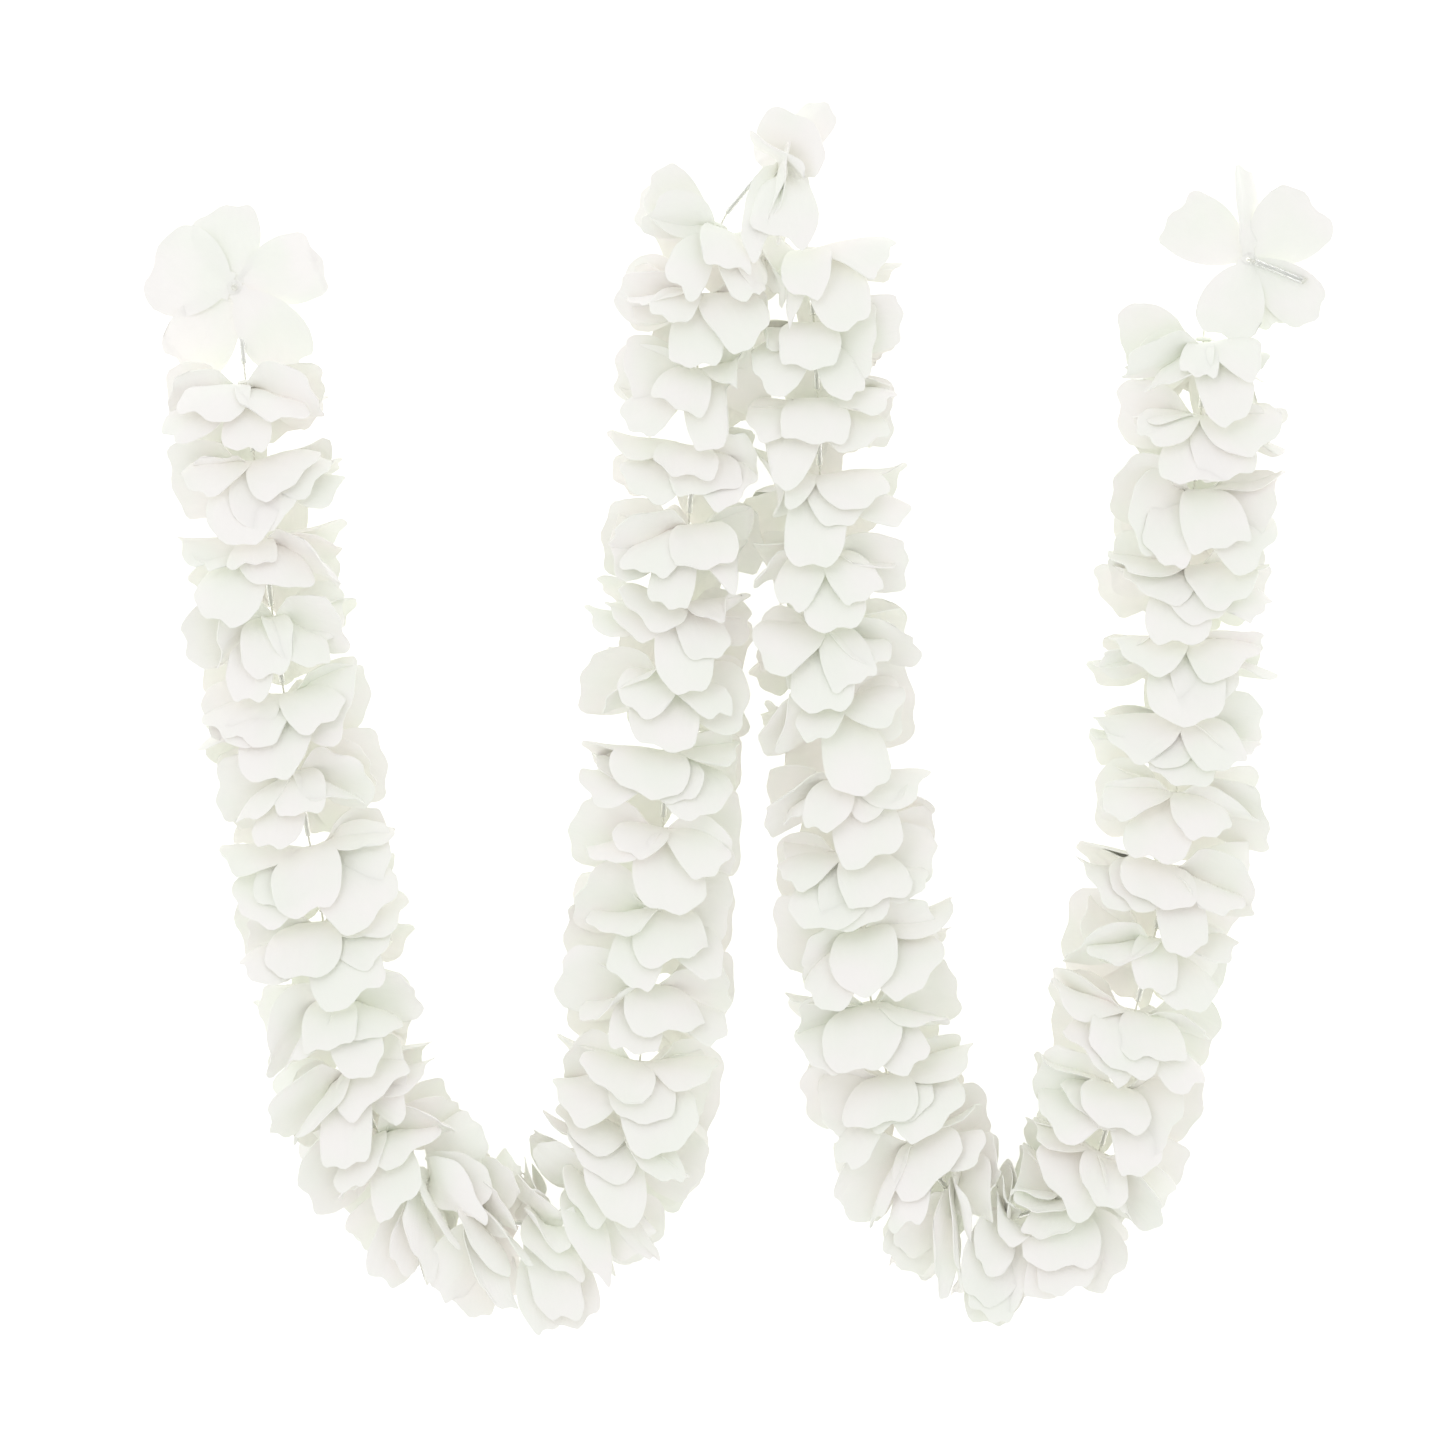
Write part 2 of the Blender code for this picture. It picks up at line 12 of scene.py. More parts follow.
import bpy
import numpy as np
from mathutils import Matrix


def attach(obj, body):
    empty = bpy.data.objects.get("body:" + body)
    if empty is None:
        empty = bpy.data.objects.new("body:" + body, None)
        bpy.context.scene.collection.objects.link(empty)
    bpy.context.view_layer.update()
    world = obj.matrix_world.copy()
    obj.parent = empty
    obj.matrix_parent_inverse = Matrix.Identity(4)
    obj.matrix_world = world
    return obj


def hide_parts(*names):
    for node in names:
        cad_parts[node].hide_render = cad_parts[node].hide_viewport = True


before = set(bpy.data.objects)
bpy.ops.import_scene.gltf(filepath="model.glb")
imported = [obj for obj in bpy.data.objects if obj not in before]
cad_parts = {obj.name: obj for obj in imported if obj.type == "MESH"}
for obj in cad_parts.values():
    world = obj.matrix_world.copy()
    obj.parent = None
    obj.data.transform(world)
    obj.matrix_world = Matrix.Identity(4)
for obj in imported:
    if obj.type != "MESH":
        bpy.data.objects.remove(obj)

# Camera: straight over the lei, with the middle and the width of its view
VIEW_MIDDLE = (-0.0057, -0.0064)
VIEW_WIDTH = 0.636
CAMERA_HEIGHT = 2.6
SENSOR_WIDTH = 36.0

# Flower: distances from the hub's middle, and the cloth's thickness
PETALS = 8
PETAL_REACH = 0.0385
PETAL_WIDTH = 0.0285
CLOTH_THICKNESS = 0.0004
HUB_RADIUS = 0.0036
HUB_HALF = 0.0009
BORE_RADIUS = 0.0009
HUB_SIDES = 20

# A petal's outline, as shares of its reach and width
ROOT_SHARE = 0.035
FIRST_SHARE = 0.11
FIRST_WIDTH = 0.30
WIDEST_SHARE = 0.70
TIP_SHARE = 1.03
TIP_CORNER = 0.06
FLESH = 0.75
FULLER = 1.22
TURNED_FULLER = 1.32
ROOT_ROWS = 10
TIP_ROWS = 7
HALF_COLUMNS = 7
COLUMN_TURN = 1.45
TURN_SHARE = 0.34

# Inner petals stand in the gaps between the two layers' petals
INNER_LAYER = 0.5
INNER_STEP = 0.50
INNER_LEAN = 0.0050
BRIDGE_STEP = 0.38
BRIDGE_LEAN = 0.0140
INNER_COS = 0.7
INNER_FACING = 0.6
INNER_ROLL = (0.8, 1.25)
INNER_REACH = (0.80, 0.97)
INNER_WIDTH = (0.70, 0.95)

# Tips of the two layers lean apart along the thread, by a little more or less
LAYER_LEAN = 0.0074
LEAN_SPREAD = 0.0048
LEAN_RISE = 0.6
SPREAD_RISE = 1.6
ROLL_SPREAD = 0.15

# Some petals to the sides are turned about their own length to face up
FACING_COS = 0.82
FACING_SHARE = 0.5
FACING_ROLL = (1.0, 1.35)
FACING_AT_BENDS = 0.95
BEND_STRETCH = 1.15
FACING_CLEARANCE = 0.20
NARROW_BASE = 0.70

# Where the thread runs this much along X, all but the lowest petals are turned
CROSSWISE = 0.70
CROSSWISE_LEAN = 0.4
CROSSWISE_WIDTH = 0.85
LOWEST_SINE = -0.50

# Thread, spacer tubes and end knots
THREAD_RADIUS = 0.00045
TUBE_RADIUS = 0.0012
TUBE_LENGTH = 0.022
KNOT_RADIUS = 0.0014
KNOT_GAP = 0.0003
CORNER = 0.0015
UP = np.array([0.0, 0.0, 1.0])
LAST_TUBE_WAY = np.array([0.93, -0.37, 0.0])
STRAND_SIDES = 4

# Cloth form: cup across a petal, curl of its tip, waves of its edges, soft pleats
# toward its tip, and how much farther or less far it reaches into crowded room
CUP = (0.0006, 0.0030)
CURL = (-0.0026, 0.0046)
EDGE_WAVE = (0.0008, 0.0028)
PLEAT = (0.0002, 0.0011)
PLEATS = (2.2, 4.4)
SKEW = 0.10
TIP_POWER = (2.4, 4.2)
OUTLINE_WAVE = 0.055
FLOOR_LIFT = 0.0011
CROWD_SHARE = (0.94, 1.20)

# Thread, spacer tubes and end knots
THREAD_RADIUS = 0.00045
THREAD_SIDES = 8
THREAD_STEP = 0.0008
TUBE_RADIUS = 0.0012
TUBE_BORE = 0.00085
TUBE_RIM = 0.00012
TUBE_LENGTH = 0.022
TUBE_SIDES = 20
KNOT_RADIUS = 0.0014
KNOT_LENGTH = 0.0026
KNOT_GAP = 0.0003
CORNER = 0.0015
UP = np.array([0.0, 0.0, 1.0])
LAST_TUBE_WAY = np.array([0.93, -0.37, 0.0])

# The thread's height over the surface. Petals over it bend back as they rise,
# and those under it bend until they lie on the surface.
THREAD_HEIGHT = 0.0195
TOP_TURN = math.radians(74)
FLOOR_TURN = 0.030
FLOOR_SEAT = 0.0006
LAYER_STEP = 0.0014

# Flowers in each half of the W, and the longer gaps at the ends and the fold
HALF_FLOWERS = 28
FIRST_GAP = 0.045
LAST_GAP = 0.045
FOLD_GAP = 0.040
FOLD_SHIFT = 0.003
BEND_CROWDING = 0.30
BEND_CURVATURE = 20.0

# At the foot of each bend the petals also fan along the thread: place and push
FANS = ((-0.100, -0.222, 0.4), (0.128, -0.221, -0.4))
FAN_SPREAD = 0.030

# The two middle stretches lie side by side, and their petals overhang in turns
# the line midway between them
MIDDLE_X = 0.011
MIDDLE_HALF_WIDTH = 0.045
MIDDLE_BOTTOM = -0.02
OVERHANG = 0.015
OVERHANG_WAVE = 0.085
OVERHANG_HEIGHT = 0.012
SIDE_ROOM = 1.00
CROWDED_WEDGE = math.radians(90)
CROWDED_ROOM = 0.60
CROWDED_WIDTH = 0.55

# Petals listed one by one: direction in degrees, layer, lean of the tip, roll, reach and
# width. The end flowers lie open, with directions seen from above; the fold's are
# round the thread from straight outward, up over it and down under it.
LEFT_HEIGHT = 0.0165
LEFT_SAG = 0.0115
RIGHT_HEIGHT = 0.0205
RIGHT_SAG = 0.0060
END_LAYER_LEAN = 0.0026
END_TUBE_HEIGHT = 0.0085
LEFT_END = (
    (20, 0, 0.000, 0.05, 0.038, 0.026),
    (100, 0, 0.001, 0.05, 0.035, 0.025),
    (162, 1, 0.000, -0.05, 0.037, 0.034),
    (235, 0, 0.000, 0.05, 0.040, 0.026),
    (309, 1, 0.001, -0.05, 0.041, 0.024),
)
RIGHT_END = (
    (40, 0, 0.000, 0.12, 0.037, 0.028),
    (93, 1, 0.003, 0.95, 0.041, 0.014),
    (146, 0, 0.001, -0.25, 0.038, 0.023),
    (250, 1, 0.004, 0.00, 0.034, 0.024),
    (291, 0, 0.002, 0.05, 0.031, 0.014),
    (322, 1, 0.001, 0.15, 0.037, 0.020),
)
FOLD_FLOWER = (
    (8, 1, 0.008, 1.10, 0.034, 0.016),
    (50, 0, -0.007, 1.20, 0.033, 0.024),
    (84, 1, 0.005, -1.25, 0.036, 0.034),
    (118, 0, -0.004, 1.30, 0.037, 0.034),
    (268, 0, -0.002, 0.00, 0.036, 0.018),
    (310, 1, 0.001, 0.10, 0.036, 0.020),
)

# The thread's route seen from above, from the left end to the right end
ROUTE = (
    (-0.220, 0.188), (-0.216, 0.157), (-0.213, 0.128), (-0.208, 0.087),
    (-0.204, 0.051), (-0.199, 0.015), (-0.193, -0.019), (-0.188, -0.050),
    (-0.182, -0.082), (-0.178, -0.116), (-0.172, -0.145), (-0.163, -0.172),
    (-0.150, -0.194), (-0.132, -0.211), (-0.112, -0.222), (-0.091, -0.225),
    (-0.073, -0.218), (-0.056, -0.201), (-0.045, -0.177), (-0.041, -0.147),
    (-0.038, -0.118), (-0.035, -0.087), (-0.032, -0.056), (-0.030, -0.025),
    (-0.029, 0.006), (-0.024, 0.038), (-0.021, 0.069), (-0.019, 0.100),
    (-0.017, 0.130), (-0.016, 0.160), (-0.015, 0.186), (-0.010, 0.207),
    (0.000, 0.226), (0.011, 0.238), (0.022, 0.238), (0.029, 0.226),
    (0.032, 0.207), (0.034, 0.185), (0.036, 0.158), (0.037, 0.127),
    (0.038, 0.095), (0.039, 0.063), (0.041, 0.032), (0.045, 0.000),
    (0.049, -0.032), (0.052, -0.064), (0.056, -0.096), (0.061, -0.131),
    (0.068, -0.161), (0.078, -0.187), (0.091, -0.206), (0.109, -0.219),
    (0.130, -0.221), (0.148, -0.210), (0.161, -0.191), (0.168, -0.166),
    (0.174, -0.140), (0.181, -0.112), (0.188, -0.084), (0.193, -0.055),
    (0.195, -0.025), (0.197, 0.006), (0.198, 0.037), (0.200, 0.068),
    (0.202, 0.098), (0.205, 0.128), (0.206, 0.152), (0.206, 0.169),
    (0.211, 0.184), (0.226, 0.200),
)
SAMPLE_STEP = 0.001
SMOOTHING = 8
FIRST_SEED = 101
STYLE_SEED = 9001

# Flowers drawn with other seeds than their turn gives
REDRAWN = {
    9: 309, 13: 613, 14: 914, 15: 30515, 16: 416, 17: 1017, 18: 418, 19: 319, 27: 327,
    29: 829, 31: 331, 33: 333, 34: 334, 35: 335, 43: 343, 44: 544, 45: 11045, 46: 346,
    47: 447, 49: 349, 56: 656,
}

# Moves the middle of the whole lei over the origin
CENTRE_SHIFT = (-0.0005, -0.0027)


def unit(vector):
    return vector / np.linalg.norm(vector)


def curve_through(points, steps=12):
    """A smooth curve through given points."""
    points = np.array(points)
    padded = np.vstack([2 * points[0] - points[1], points, 2 * points[-1] - points[-2]])
    curve = []
    for a, b, c, d in zip(padded, padded[1:], padded[2:], padded[3:]):
        for step in range(steps):
            t = step / steps
            curve.append(0.5 * (2 * b + (c - a) * t + (2 * a - 5 * b + 4 * c - d) * t ** 2
                                + (3 * b - a - 3 * c + d) * t ** 3))
    curve.append(points[-1])
    return np.array(curve)


def resample(curve, step):
    """The same curve with its points an even step apart."""
    lengths = np.linalg.norm(np.diff(curve, axis=0), axis=1)
    along = np.concatenate([[0.0], np.cumsum(lengths)])
    stops = np.linspace(0.0, along[-1], int(along[-1] / step) + 1)
    columns = [np.interp(stops, along, curve[:, axis]) for axis in range(curve.shape[1])]
    return np.column_stack(columns)


def smooth_rows(rows, reach):
    """Each row averaged with its neighbours up to reach rows away."""
    weights = np.hanning(2 * reach + 3)[1:-1]
    weights /= weights.sum()
    padded = np.concatenate([np.repeat(rows[:1], reach, axis=0), rows,
                             np.repeat(rows[-1:], reach, axis=0)])
    return np.array([weights @ padded[i:i + len(weights)] for i in range(len(rows))])


def top_bend():
    """Rise and fall back of the upper petals, which bend most near the thread."""
    steps = np.linspace(0.0, 1.2 * PETAL_REACH, 121)
    angles = TOP_TURN * (1 - np.maximum(1 - steps / PETAL_REACH, 0.0) ** 2)
    gaps = np.diff(steps)
    middles = (angles[:-1] + angles[1:]) / 2
    rise = np.concatenate([[0.0], np.cumsum(np.cos(middles) * gaps)])
    fall = np.concatenate([[0.0], np.cumsum(np.sin(middles) * gaps)])
    return steps, rise, fall


BEND_STEPS, BEND_RISE, BEND_FALL = top_bend()


def bend_down(height):
    """Rise over the thread, and fall back along -Y, of a place this far up a petal."""
    size = abs(height)
    if height >= 0:
        return tuple(float(np.interp(size, BEND_STEPS, table)) for table in (BEND_RISE, BEND_FALL))
    turn = math.pi / 2 / FLOOR_TURN
    angle = turn * min(size, FLOOR_TURN)
    lying = max(size - FLOOR_TURN, 0.0)
    return -math.sin(angle) / turn, (1 - math.cos(angle)) / turn + lying


def fan(point):
    """Push along X of the petals over a place on the thread, near the foot of a bend."""
    return sum(push * math.exp(-((point[0] - x) ** 2 + (point[1] - y) ** 2) / (2 * FAN_SPREAD ** 2))
               for x, y, push in FANS)


class Route:
    """The thread's course: points in the plan, normals to its left, room at its sides."""

    def __init__(self):
        curve = resample(curve_through(ROUTE), SAMPLE_STEP)
        inner = smooth_rows(curve, SMOOTHING)
        inner[:SMOOTHING] = curve[:SMOOTHING]
        inner[-SMOOTHING:] = curve[-SMOOTHING:]
        self.points = resample(inner, SAMPLE_STEP)
        self.length = SAMPLE_STEP * (len(self.points) - 1)
        self.at = np.linspace(0.0, self.length, len(self.points))
        tangents = smooth_rows(np.gradient(self.points, axis=0), SMOOTHING)
        self.tangents = tangents / np.linalg.norm(tangents, axis=1)[:, None]
        self.normals = np.column_stack([-self.tangents[:, 1], self.tangents[:, 0]])
        self.turning = (np.gradient(self.tangents, axis=0) * self.normals).sum(axis=1) / SAMPLE_STEP
        self.room = {side: self.side_room(side) for side in (1, -1)}

    def side_room(self, side):
        """Half the way to the nearest other stretch of thread on one side."""
        rooms = []
        for point, normal in zip(self.points, self.normals * side):
            offsets = self.points - point
            ahead = offsets @ normal
            facing = ahead > 1e-5
            half_ways = (offsets[facing] ** 2).sum(axis=1) / (2 * ahead[facing])
            rooms.append(min(half_ways, default=0.2))
        nearest = [min(rooms[max(i - 6, 0):i + 7] + [0.2]) for i in range(len(rooms))]
        return smooth_rows(np.array(nearest), 12) * SIDE_ROOM

    def read(self, table, along):
        return np.array([np.interp(along, self.at, table[:, axis]) for axis in range(2)])

    def side(self, side, along):
        return float(np.interp(along, self.at, self.room[side]))

    def centre(self, along):
        inside = min(max(along, 0.0), self.length)
        return self.read(self.points, inside) + (along - inside) * self.read(self.tangents, inside)

    def on_thread(self, along):
        return np.array([*self.centre(along), THREAD_HEIGHT])

    def overhang(self, side, along, height):
        """How far petals here reach past the line midway between the middle stretches."""
        x, y = self.centre(along)
        inward = (MIDDLE_X - x) * side * self.read(self.normals, along)[0] > 0
        if not inward or abs(x - MIDDLE_X) > MIDDLE_HALF_WIDTH or y < MIDDLE_BOTTOM:
            return 0.0
        ease = min(max(self.side(side, along) / 0.012 - 1, 0.0), 1.0)
        tier = min(max(height / OVERHANG_HEIGHT, -1.0), 1.0)
        shift = OVERHANG * ease * tier * math.sin(2 * math.pi * y / OVERHANG_WAVE)
        return shift if x < MIDDLE_X else -shift

    def stretch(self, stop, across):
        """How much longer the way is here than along the thread, round its bends."""
        return 1 - across * float(np.interp(stop, self.at, self.turning))

    def place(self, stop, lean, across, height, crowd_share):
        """World point of a place left of and over the thread, leaning from a flower."""
        side = 1 if across > 0 else -1
        along = stop + lean / max(self.stretch(stop, across), 1.0)
        room = crowd_share * (self.side(side, along) + self.overhang(side, along, height))
        across = across / (1 + (abs(across) / room) ** 6) ** (1 / 6)
        rise, fall = bend_down(height)
        centre = self.centre(along)
        x, y = centre + across * self.read(self.normals, along)
        return np.array([x + fall * fan(centre), y - fall, THREAD_HEIGHT + rise])

    def spread(self, start, end, count):
        """Evenly spaced distances along the thread, closer together at the bends."""
        bend = smooth_rows(abs(self.turning), 20) / BEND_CURVATURE
        crowd = 1 + BEND_CROWDING * np.minimum(bend, 1.0)
        crowd[(self.at < start) | (self.at > end)] = 0.0
        total = np.cumsum(crowd)
        marks = np.linspace(total[0], total[-1], count)
        stops = list(np.interp(marks[1:-1], total, self.at))
        return [start, *stops, end]


def flower_stops(route):
    """Distances of the flowers along the thread, end to end."""
    fold = route.at[int(np.argmax(route.points[:, 1]))] + FOLD_SHIFT
    left = route.spread(FIRST_GAP, fold - FOLD_GAP, HALF_FLOWERS)
    right = route.spread(fold + FOLD_GAP, route.length - LAST_GAP, HALF_FLOWERS)
    return [0.0, *left, fold, *right, route.length]


def tube_spans(stops):
    """Start and end of each spacer tube along the thread, midway between flowers."""
    middles = [(a + b) / 2 for a, b in zip(stops, stops[1:])]
    return [(middle - TUBE_LENGTH / 2, middle + TUBE_LENGTH / 2) for middle in middles]


def steer(angle, side_angle, wedge):
    """Turn a petal's direction away from a crowded side."""
    away = (angle - side_angle + math.pi) % (2 * math.pi) - math.pi
    return side_angle + math.copysign(wedge + abs(away) * (1 - wedge / math.pi), away)


def petal_plans(route, stop, seed):
    """Direction, layer, lean, roll, reach and width of each petal of one flower."""
    draw = random.Random(seed)
    start = draw.uniform(0, 2 * math.pi)
    plans = []
    rooms = {side: min(route.side(side, stop) / PETAL_REACH, 1.0) for side in (1, -1)}
    least = min(rooms.values())
    heading = route.read(route.tangents, stop)
    crosswise = abs(heading[0]) > CROSSWISE
    for index in range(PETALS):
        angle = start + 2 * math.pi * index / PETALS + draw.uniform(-0.10, 0.10)
        angle = steer(angle, 0.0, CROWDED_WEDGE * (1 - rooms[1]))
        angle = steer(angle, math.pi, CROWDED_WEDGE * (1 - rooms[-1]))
        angle %= 2 * math.pi
        layer = index % 2
        lean = draw.uniform(-LEAN_SPREAD, LEAN_SPREAD)
        roll = draw.uniform(-ROLL_SPREAD, ROLL_SPREAD)
        reach = PETAL_REACH * draw.uniform(0.90, 1.04)
        width = PETAL_WIDTH * draw.uniform(0.84, 1.04) * (CROWDED_WIDTH + (1 - CROWDED_WIDTH) * least)
        outer = route.stretch(stop, PETAL_REACH * math.cos(angle)) > BEND_STRETCH
        chance = FACING_AT_BENDS if outer else FACING_SHARE
        facing = draw.random() < chance and abs(math.cos(angle)) > FACING_COS
        facing = facing and rooms[1 if math.cos(angle) > 0 else -1] > CROWDED_ROOM
        if crosswise and math.sin(angle) > LOWEST_SINE:
            lean *= CROSSWISE_LEAN
            width *= CROSSWISE_WIDTH
            roll = draw.uniform(*FACING_ROLL)
        elif facing:
            roll = math.copysign(draw.uniform(*FACING_ROLL), math.cos(angle) * heading[1])
        plans.append((angle, layer, lean, roll, reach, width))
    return clear_of_facing(sorted(plans))


def is_facing(plan):
    return abs(plan[3]) > ROLL_SPREAD


def clear_of_facing(plans):
    """Turn petals next to one that faces up away from it, and narrow them."""
    cleared = []
    for index, (angle, layer, lean, roll, reach, width) in enumerate(plans):
        before = plans[index - 1]
        after = plans[(index + 1) % len(plans)]
        shift = FACING_CLEARANCE * (is_facing(before) - is_facing(after))
        if not is_facing(plans[index]) and (is_facing(before) or is_facing(after)):
            roll = 0.0
            width *= NARROW_BASE
            angle += shift
        cleared.append((angle, layer, lean, roll, reach, width))
    return cleared


def layered_lean(plan, share):
    """How far a petal has leaned along the thread at a share of its reach."""
    _, layer, lean, _, _, _ = plan
    apart = 0.3 if is_facing(plan) else 1.0
    return apart * LAYER_LEAN * (2 * layer - 1) * share ** LEAN_RISE + lean * share ** SPREAD_RISE


def outline(share, edge, tip_power):
    """Where a place in a petal's flat pattern lies: share of its reach, of half its width."""
    if share > WIDEST_SHARE:
        tip = max(1 - abs(edge) ** tip_power, 0.0) ** (1 / tip_power)
        return WIDEST_SHARE + (share - WIDEST_SHARE) * max(tip, TIP_CORNER), edge
    out = max(share - FIRST_SHARE, 0.0) / (WIDEST_SHARE - FIRST_SHARE)
    return share, edge * (FIRST_WIDTH + (1 - FIRST_WIDTH) * math.sin(math.pi / 2 * out) ** FLESH)


class Cloth:
    """The small shapes of one petal's cloth, drawn once for each petal."""

    def __init__(self, draw):
        self.cup = draw.uniform(*CUP) * draw.choice((-1, 1, 1))
        self.curl = draw.uniform(*CURL)
        self.wave = [draw.uniform(*EDGE_WAVE) for _ in range(2)]
        self.turns = [draw.uniform(0.7, 1.7) for _ in range(2)]
        self.phases = [draw.uniform(0, 2 * math.pi) for _ in range(5)]
        self.pleat = draw.uniform(*PLEAT)
        self.pleats = draw.uniform(*PLEATS)
        self.skew = draw.uniform(-SKEW, SKEW)
        self.tip_power = draw.uniform(*TIP_POWER)
        self.crowd_share = draw.uniform(*CROWD_SHARE)

    def stray(self, share, edge):
        """How far the cloth stands out of its flat shape."""
        side = 1 if edge > 0 else 0
        out = max(share - 0.15, 0.0)
        cupped = self.cup * edge ** 2 * min(out * 2, 1)
        curled = self.curl * max(share - 0.6, 0.0) ** 2 / 0.16
        waving = math.sin(2 * math.pi * self.turns[side] * share + self.phases[side])
        pleated = self.pleat * math.sin(self.pleats * edge + self.phases[4]) * out ** 0.5
        return cupped + curled + self.wave[side] * waving * edge ** 2 * out + pleated

    def reach(self, share, edge):
        """Small in and out waves of the outline, as a share of the reach."""
        wave = math.sin(2.6 * edge + self.phases[2]) * math.cos(4.1 * edge + self.phases[3])
        return share * (1 + OUTLINE_WAVE * share ** 3 * wave)

    def lift(self, share, edge):
        """How far cloth that lies on the surface stands up from it."""
        return FLOOR_LIFT * edge ** 2 * (1 + math.sin(7 * share + self.phases[2])) / 2


def petal_shares():
    root = np.linspace(ROOT_SHARE, WIDEST_SHARE, ROOT_ROWS)
    tip = np.linspace(WIDEST_SHARE, TIP_SHARE, TIP_ROWS + 1)[1:]
    return [*root, *tip]


SHARES = petal_shares()
EDGES = [math.sin(COLUMN_TURN * step / HALF_COLUMNS) / math.sin(COLUMN_TURN)
         for step in range(-HALF_COLUMNS, HALF_COLUMNS + 1)]


def petal_sheet(plan, cloth, lean_at, place, low_layer):
    """Places of a petal's rows and columns on its middle surface, and its flat pattern."""
    angle, layer, _, roll, reach, width = plan
    seat = CLOTH_THICKNESS / 2 + abs(layer - low_layer) * LAYER_STEP
    places = []
    pattern = []
    fuller = TURNED_FULLER if is_facing(plan) else FULLER
    for row_share in SHARES:
        for edge in EDGES:
            share, wide = outline(row_share, edge, cloth.tip_power)
            turn = roll * min(share / TURN_SHARE, 1.0)
            side = fuller * width * wide / 2 + cloth.skew * width * share ** 2 * (1 - abs(edge))
            out = reach * cloth.reach(share, edge)
            stray = cloth.stray(share, edge)
            sideways = side * math.cos(turn) - stray * math.sin(turn)
            lean = lean_at(plan, share) + side * math.sin(turn) + stray * math.cos(turn)
            across = out * math.cos(angle) - sideways * math.sin(angle)
            height = out * math.sin(angle) + sideways * math.cos(angle)
            point = place(lean, across, height, cloth.crowd_share)
            if point[2] < seat + FLOOR_SEAT:
                point[2] = seat + cloth.lift(share, edge)
            places.append(point)
            pattern.append((side, out))
    shape = (len(SHARES), len(EDGES))
    return np.array(places).reshape(*shape, 3), np.array(pattern).reshape(*shape, 2)


